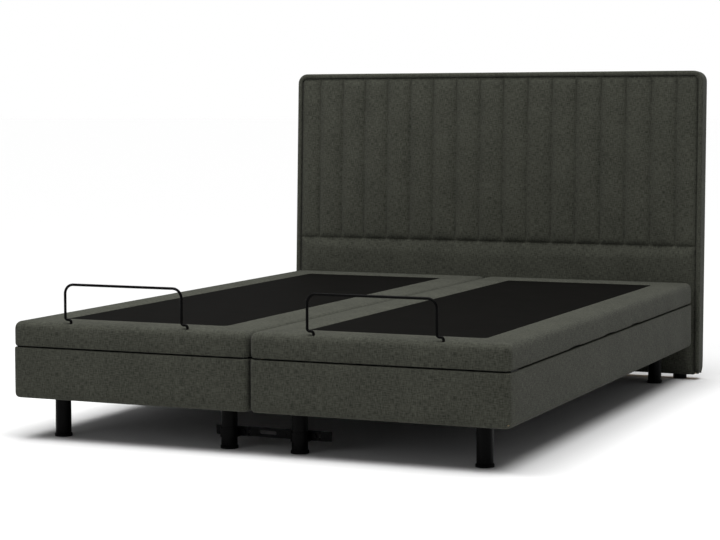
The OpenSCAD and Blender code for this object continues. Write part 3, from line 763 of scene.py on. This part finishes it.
def pillow(p):
    """How far back a point starts: a crowned channel between its seams."""
    if p.z < cross_z:
        across_share = min(1.0, (quilt_w / 2 - abs(p.x)) / PLAIN_EDGE)
        up_share = min(1.0, min(p.z, cross_z - p.z) / PLAIN_EDGE)
    else:
        lines = [-quilt_w / 2] + seams + [quilt_w / 2]
        gap = min(abs(p.x - line) for line in lines)
        across_share = min(1.0, gap / (channel_w / 2))
        up_share = min(1.0, min(quilt_h - p.z, p.z - cross_z) / CHANNEL_END)
    crown = (1 - (1 - across_share) ** FULLNESS) * (1 - (1 - up_share) ** FULLNESS)
    return SEAM_DEPTH * (1 - crown) + (STITCH_DEPTH if sewn(p) else 0.0)


def wobble(p):
    """How far sideways a point of the channels strays, none at the outer edges."""
    from_side = (quilt_w / 2 - abs(p.x)) / WOBBLE_FADE
    from_cross = max(0.0, (p.z - cross_z) / WOBBLE_FADE)
    place = Vector((p.x * WOBBLE_PER_M, 0, p.z * WOBBLE_PER_M))
    return WOBBLE * min(1.0, from_side, from_cross) * noise.noise(place)


held = hold(quilt, sewn)
for vertex in quilt.data.vertices:
    vertex.co.y = pillow(vertex.co)
for vertex in quilt.data.vertices:
    vertex.co.x += wobble(vertex.co)
moved = swell(quilt, pressure=2.5, cap=4 * MM)
print("quilt", held, "held, swelled", round(moved / MM, 2), "mm")

# %% [markdown]
# One subdivision smooths the channels while the face is still open. It then
# becomes a cushion: its outer edge is extruded back to the front board, and the
# back is filled last, because a subdivided face of a thousand sides is slow.

# %% Close the quilt
CUSHION_T = 26 * MM
modify(quilt, "SUBSURF", levels=1, render_levels=1)
edit(quilt)
bpy.ops.mesh.select_all(action="DESELECT")
bpy.ops.mesh.select_mode(type="EDGE")
bpy.ops.mesh.select_non_manifold()
extrude_by(0, CUSHION_T - SEAM_DEPTH - STITCH_DEPTH, 0)
bpy.ops.mesh.edge_face_add()
close()
face_out(quilt)
smooth(quilt, 70)
print("quilt closed,", len(quilt.data.polygons), "faces")

# %% [markdown]
# ## The padded border
# A roll of wadding runs up one side, over the top and down the other. It is
# swept: its cross-section is a rounded plane that is extruded up, spun round
# each corner, and extruded across. That keeps its section true in the corners,
# which a bevelled frame would not.

# %% Sweep the border
HEAD_R = 38 * MM
BORDER_BACK = 69 * MM
SECTION_R = 8 * MM
CORNER_STEPS = 10

bpy.ops.object.select_all(action="DESELECT")
bpy.ops.mesh.primitive_plane_add(size=1)
border = bpy.context.object
border.name = border.data.name = "headboard_roll"
border.scale = (BORDER, BORDER_BACK, 1)
border.location = (-head_w / 2 + BORDER / 2, BORDER_BACK / 2, 0)
settle()
edit(border)
pick("VERT", lambda v: v.co.y < MM)
bpy.ops.mesh.bevel(offset=SECTION_R, segments=5, affect="VERTICES")
pick("VERT", lambda v: v.co.y > BORDER_BACK - MM and v.co.x < -head_w / 2 + MM)
bpy.ops.mesh.bevel(offset=5 * MM, segments=3, affect="VERTICES")
bpy.ops.mesh.select_all(action="SELECT")
straight = HEAD_H - HEAD_R
for i in range(22):
    extrude_by(0, 0, straight / 22)
bpy.ops.mesh.spin(
    steps=CORNER_STEPS, angle=-math.pi / 2,
    center=(-head_w / 2 + HEAD_R, 0, straight), axis=(0, 1, 0),
)
for i in range(30):
    extrude_by((head_w - 2 * HEAD_R) / 30, 0, 0)
bpy.ops.mesh.spin(
    steps=CORNER_STEPS, angle=-math.pi / 2,
    center=(head_w / 2 - HEAD_R, 0, straight), axis=(0, 1, 0),
)
for i in range(22):
    extrude_by(0, 0, -straight / 22)
close()
face_out(border)
low = [round(min(v.co[i] for v in border.data.vertices), 3) for i in range(3)]
high = [round(max(v.co[i] for v in border.data.vertices), 3) for i in range(3)]
print("border from", low, "to", high, len(border.data.polygons), "faces")

# %% [markdown]
# Both pieces get their weave while they stand upright, and are then leaned back
# about the lower front edge and moved to their place behind the bases.

# %% Lean the headboard pieces
def lean_back(piece):
    """Leans an upright headboard piece and moves it behind the bases."""
    alone(piece)
    turn = Matrix.Rotation(-LEAN, 4, "X")
    piece.data.transform(Matrix.Translation((0, head_front, head_z)) @ turn)


modify(border, "SUBSURF", levels=1, render_levels=1)
for piece, node in ((quilt, "headboard_cushion"), (border, "headboard_border")):
    smooth(piece, 60)
    lay_weave(piece)
    lean_back(piece)
    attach(piece, "root")
    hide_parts(node)
print("headboard pieces", quilt.name, border.name)

# %% [markdown]
# ## Materials
# Every finish is drawn with nodes. Two helpers are enough: one turns the usual
# six-digit colour, which is made for screens, into the linear values that
# shaders need, and one adds a node with its settings and links.

# %% Helpers for materials
def colour(code):
    """Linear RGBA of an sRGB hex colour."""
    parts = [int(code[i:i + 2], 16) / 255 for i in (1, 3, 5)]
    linear = [c / 12.92 if c <= 0.04045 else ((c + 0.055) / 1.055) ** 2.4 for c in parts]
    return (*linear, 1.0)


def add(tree, kind, inputs=None, **settings):
    """Adds a node; inputs gives each socket a value or another node's output."""
    made = tree.nodes.new("ShaderNode" + kind)
    for name, value in settings.items():
        setattr(made, name, value)
    for name, value in (inputs or {}).items():
        if isinstance(value, bpy.types.NodeSocket):
            tree.links.new(value, made.inputs[name])
        else:
            made.inputs[name].default_value = value
    return made


def new_material(name, **shader_values):
    """An empty material with a Principled shader, and its node tree."""
    material = bpy.data.materials.new(name)
    material.use_nodes = True
    tree = material.node_tree
    tree.nodes.clear()
    values = {key.replace("_", " "): value for key, value in shader_values.items()}
    shader = add(tree, "BsdfPrincipled", values)
    add(tree, "OutputMaterial", {"Surface": shader.outputs[0]})
    return material, tree, shader


# %% [markdown]
# ### Melange upholstery fabric
# The grey fabric is a woven polyester melange: dark and pale fibres are spun
# together, so no thread has one colour. From a few metres it reads as dark
# warm grey with a fine mottle, and short slubs run along both thread
# directions. Real threads are about 1 mm apart, too fine to show here, so they
# are drawn about 2.4 mm apart. The fibre ends give it a faint sheen at grazing
# angles.

# %% Make the melange fabric
THREAD = 2.4 * MM
SLUB = 17 * MM
FABRIC_DARK = "#20211c"
FABRIC_PALE = "#46473f"

melange, tree, shader = new_material(
    "woven polyester melange",
    Roughness=0.92, Sheen_Weight=0.03, Sheen_Roughness=0.5, Specular_IOR_Level=0.1, IOR=1.5,
)
cloth_map = add(tree, "UVMap", uv_map="UVMap").outputs[0]
weft = add(tree, "Mapping", {"Vector": cloth_map, "Scale": (1 / SLUB, 1 / THREAD, 1)})
warp = add(tree, "Mapping", {"Vector": cloth_map, "Scale": (1 / THREAD, 1 / SLUB, 1)})
weft_slub = add(tree, "TexNoise", {"Vector": weft.outputs[0], "Scale": 1.0, "Detail": 2.0})
warp_slub = add(tree, "TexNoise", {"Vector": warp.outputs[0], "Scale": 1.0, "Detail": 2.0})
both = add(tree, "Math", {0: weft_slub.outputs[0], 1: warp_slub.outputs[0]}, operation="ADD")
mottle = add(
    tree, "MapRange", {"Value": both.outputs[0], "From Min": 0.66, "From Max": 1.34}
)
patchy = add(tree, "TexNoise", {"Vector": cloth_map, "Scale": 9.0, "Detail": 3.0})
shade = add(
    tree, "MapRange",
    {"Value": patchy.outputs[0], "From Min": 0.3, "From Max": 0.7,
     "To Min": -0.08, "To Max": 0.08},
)
mixed = add(tree, "Math", {0: mottle.outputs[0], 1: shade.outputs[0]}, operation="ADD")
yarn = add(
    tree, "Mix", {0: mixed.outputs[0], 6: colour(FABRIC_DARK), 7: colour(FABRIC_PALE)},
    data_type="RGBA",
)
weave_bump = add(
    tree, "Bump", {"Strength": 0.35, "Distance": 0.8 * MM, "Height": both.outputs[0]}
)
tree.links.new(yarn.outputs[2], shader.inputs["Base Color"])
tree.links.new(weave_bump.outputs[0], shader.inputs["Normal"])
print(melange.name, "threads", THREAD / MM, "mm, slubs", SLUB / MM, "mm")

# %% [markdown]
# ### Black panel cloth
# The panel is a needled black polypropylene cloth. Its fibres lie mostly across
# the bed and catch the light in faint streaks, which are all that can be seen
# of it. Those streaks are painted sheen: slightly lighter black painted into
# the colour along the fibres. Real fibres are hair-thin, so the streaks are
# drawn 3 mm wide.

# %% Make the panel cloth
STREAK_W = 3 * MM
STREAK_L = 140 * MM
panel_black, tree, shader = new_material(
    "needled black polypropylene", Roughness=0.7, Specular_IOR_Level=0.02, IOR=1.49
)
cloth_map = add(tree, "UVMap", uv_map="UVMap").outputs[0]
lie = add(tree, "Mapping", {"Vector": cloth_map, "Scale": (1 / STREAK_L, 1 / STREAK_W, 1)})
streak = add(tree, "TexNoise", {"Vector": lie.outputs[0], "Scale": 1.0, "Detail": 3.0})
share = add(tree, "MapRange", {"Value": streak.outputs[0], "From Min": 0.35, "From Max": 0.7})
# painted sheen: the streaks of light the fibres catch are painted into the base colour as lighter
# black
painted_sheen_streaks = add(
    tree, "Mix", {0: share.outputs[0], 6: colour("#060605"), 7: colour("#100f0e")},
    data_type="RGBA",
)
fibre_bump = add(
    tree, "Bump", {"Strength": 0.3, "Distance": 0.5 * MM, "Height": streak.outputs[0]}
)
tree.links.new(painted_sheen_streaks.outputs[2], shader.inputs["Base Color"])
tree.links.new(fibre_bump.outputs[0], shader.inputs["Normal"])
print(panel_black.name)

# %% [markdown]
# ### Powder coats, zinc and plastics
# The legs, the retainer bars and the connector are satin black powder coat on
# steel: a thin plastic skin with a faint orange peel, which breaks highlights
# up. The subframe has the same coat in dark grey and duller. Screws and pins
# are zinc plated, with a crystal pattern that varies in roughness. Moulded
# parts have the fine even grain of a spark-eroded mould.

# %% Make the hard finishes
def grained(name, code, grain_mm, strength, spread=0.12, **shader_values):
    """A hard finish with a fine grain in its height and its roughness."""
    material, tree, shader = new_material(name, Base_Color=colour(code), **shader_values)
    place = add(tree, "TexCoord").outputs["Object"]
    grain = add(tree, "TexNoise", {"Vector": place, "Scale": 1000 / grain_mm, "Detail": 2.0})
    rough = shader_values["Roughness"]
    dull = add(
        tree, "MapRange",
        {"Value": grain.outputs[0], "From Min": 0.3, "From Max": 0.7,
         "To Min": rough - spread, "To Max": rough + spread},
    )
    bump = add(
        tree, "Bump", {"Strength": strength, "Distance": 0.2 * MM, "Height": grain.outputs[0]}
    )
    tree.links.new(dull.outputs[0], shader.inputs["Roughness"])
    tree.links.new(bump.outputs[0], shader.inputs["Normal"])
    return material


satin_black = grained(
    "satin black powder coat", "#040404", 2.5, 0.15,
    Roughness=0.36, Specular_IOR_Level=0.04, IOR=1.5,
)
frame_grey = grained("dark grey powder coat", "#25262a", 3.0, 0.3, Roughness=0.5, IOR=1.5)
zinc = grained("zinc plated steel", "#a9adb3", 6.0, 0.1, Roughness=0.38, Metallic=1.0)
moulded_black = grained(
    "moulded black polypropylene", "#050505", 1.8, 0.35,
    Roughness=0.55, Specular_IOR_Level=0.08, IOR=1.49,
)
natural_nylon = grained("natural nylon", "#ded9c9", 2.0, 0.15, Roughness=0.42, IOR=1.53)
print("hard finishes made")

# %% [markdown]
# ### Timber and plywood
# The frames are planed softwood: pale wood with darker late rings, seen as long
# streaks. The boards are birch plywood, paler and finer; the real boards have
# dark glue lines along their edges, which are not drawn here. Both take their
# grain from object coordinates, stretched along the length of the wood.

# %% Make the woods
def wood(name, pale, dark, stretch, ring_mm, **shader_values):
    """Planed wood with its grain along one axis."""
    material, tree, shader = new_material(name, **shader_values)
    place = add(tree, "TexCoord").outputs["Object"]
    along_grain = add(tree, "Mapping", {"Vector": place, "Scale": stretch})
    rings = add(
        tree, "TexNoise",
        {"Vector": along_grain.outputs[0], "Scale": 1000 / ring_mm, "Detail": 4.0,
         "Roughness": 0.6},
    )
    share = add(tree, "MapRange", {"Value": rings.outputs[0], "From Min": 0.35, "From Max": 0.68})
    tone = add(
        tree, "Mix", {0: share.outputs[0], 6: colour(pale), 7: colour(dark)}, data_type="RGBA"
    )
    bump = add(tree, "Bump", {"Strength": 0.2, "Distance": 0.3 * MM, "Height": rings.outputs[0]})
    tree.links.new(tone.outputs[2], shader.inputs["Base Color"])
    tree.links.new(bump.outputs[0], shader.inputs["Normal"])
    return material


softwood = wood("planed softwood", "#d8bd8f", "#b98f5c", (1, 0.05, 1), 9, Roughness=0.62, IOR=1.5)
birch = wood("birch plywood", "#d9c4a0", "#c3a67a", (1, 0.03, 1), 5, Roughness=0.55, IOR=1.5)
print("woods made")

# %% [markdown]
# ### Dust cloth
# The cloth under the boxes and on the headboard's back is black spunbond, a
# felt of plastic threads pressed together in small dots. The dots are about
# 1 mm apart on the real cloth and are drawn 5 mm apart.

# %% Make the dust cloth
spunbond, tree, shader = new_material("black spunbond", Roughness=0.8, IOR=1.49)
place = add(tree, "TexCoord").outputs["Object"]
dots = add(tree, "TexVoronoi", {"Vector": place, "Scale": 1 / (5 * MM)})
share = add(tree, "MapRange", {"Value": dots.outputs[0], "From Min": 0.1, "From Max": 0.6})
tone = add(
    tree, "Mix", {0: share.outputs[0], 6: colour("#0d0d0e"), 7: colour("#1d1d1e")},
    data_type="RGBA",
)
bump = add(tree, "Bump", {"Strength": 0.4, "Distance": 0.3 * MM, "Height": dots.outputs[0]})
tree.links.new(tone.outputs[2], shader.inputs["Base Color"])
tree.links.new(bump.outputs[0], shader.inputs["Normal"])
print(spunbond.name)

# %% [markdown]
# ## Dressing every piece
# The record names a material slot for each CAD node, so one table from slot to
# finish dresses them all. The fabric pieces get theirs in the same way.

# %% Assign the materials
FINISH = {
    "upholstery": melange,
    "black_cloth": spunbond,
    "timber": softwood,
    "plywood": birch,
    "black_steel": satin_black,
    "frame_steel": frame_grey,
    "zinc": zinc,
    "black_plastic": moulded_black,
    "white_plastic": natural_nylon,
}


def dress(piece, material):
    """Gives the whole piece one material."""
    piece.data.materials.clear()
    piece.data.materials.append(material)


for subpart in frame["record"]["subparts"]:
    dress(frame["nodes"][subpart["node"]], FINISH[subpart["material_slot"]])
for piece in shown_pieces():
    if "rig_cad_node" not in piece:
        dress(piece, melange)
for (part, place, side), piece in deck.items():
    dress(piece, melange if part == "cover" else panel_black)

# %% [markdown]
# ## Floor and light
# The floor is plain and pale, and the light is soft: a very wide sun from
# almost straight above, as a studio ceiling would give, a weaker panel from the
# front left, and a small one above the foot end that brightens the headboard.
# The tops of the bed read brighter than its fronts, and the floor is evenly lit
# as far as it goes.

# %% Lay the floor
bpy.ops.object.select_all(action="DESELECT")
bpy.ops.mesh.primitive_plane_add(size=300)
floor = bpy.context.object
floor.name = floor.data.name = "floor"
floor.location.z = -0.5 * MM
pale_floor, tree, shader = new_material(
    "pale studio floor", Base_Color=colour("#dadada"), Roughness=0.9, Specular_IOR_Level=0.1
)
dress(floor, pale_floor)
print("floor laid")


# %% Hang the lights
def panel_light(name, place, aim, size, power):
    """A square light panel at a place, turned to face a point."""
    data = bpy.data.lights.new(name, "AREA")
    data.size = size
    data.energy = power
    light = bpy.data.objects.new(name, data)
    light.location = place
    light.rotation_euler = (Vector(aim) - Vector(place)).to_track_quat("-Z", "Y").to_euler()
    bpy.context.scene.collection.objects.link(light)
    return light


ceiling_data = bpy.data.lights.new("ceiling", "SUN")
ceiling_data.energy = 3.9
ceiling_data.angle = math.radians(60)
ceiling = bpy.data.objects.new("ceiling", ceiling_data)
ceiling.rotation_euler = Vector((-0.07, 0.05, -1)).to_track_quat("-Z", "Y").to_euler()
bpy.context.scene.collection.objects.link(ceiling)
panel_light("front left", (-2.5, -6.5, 2.0), (0, 0.6, 0.7), 3.0, 30)
panel_light("over the bed", (-0.4, foot_y + 0.1, 2.3), (0, head_y, 0.7), 1.6, 38)
world = bpy.data.worlds.new("studio")
bpy.context.scene.world = world
world.use_nodes = True
world.node_tree.nodes.clear()
path = add(world.node_tree, "LightPath")
backdrop = add(world.node_tree, "Background", {"Color": (1, 1, 1, 1), "Strength": 1.0})
ambient = add(world.node_tree, "Background", {"Color": (1, 1, 1, 1), "Strength": 0.22})
chosen = add(
    world.node_tree, "MixShader",
    {0: path.outputs["Is Camera Ray"], 1: ambient.outputs[0], 2: backdrop.outputs[0]},
)
add(world.node_tree, "OutputWorld", {"Surface": chosen.outputs[0]})
bpy.context.scene.view_settings.view_transform = "Standard"
print("lights hung")
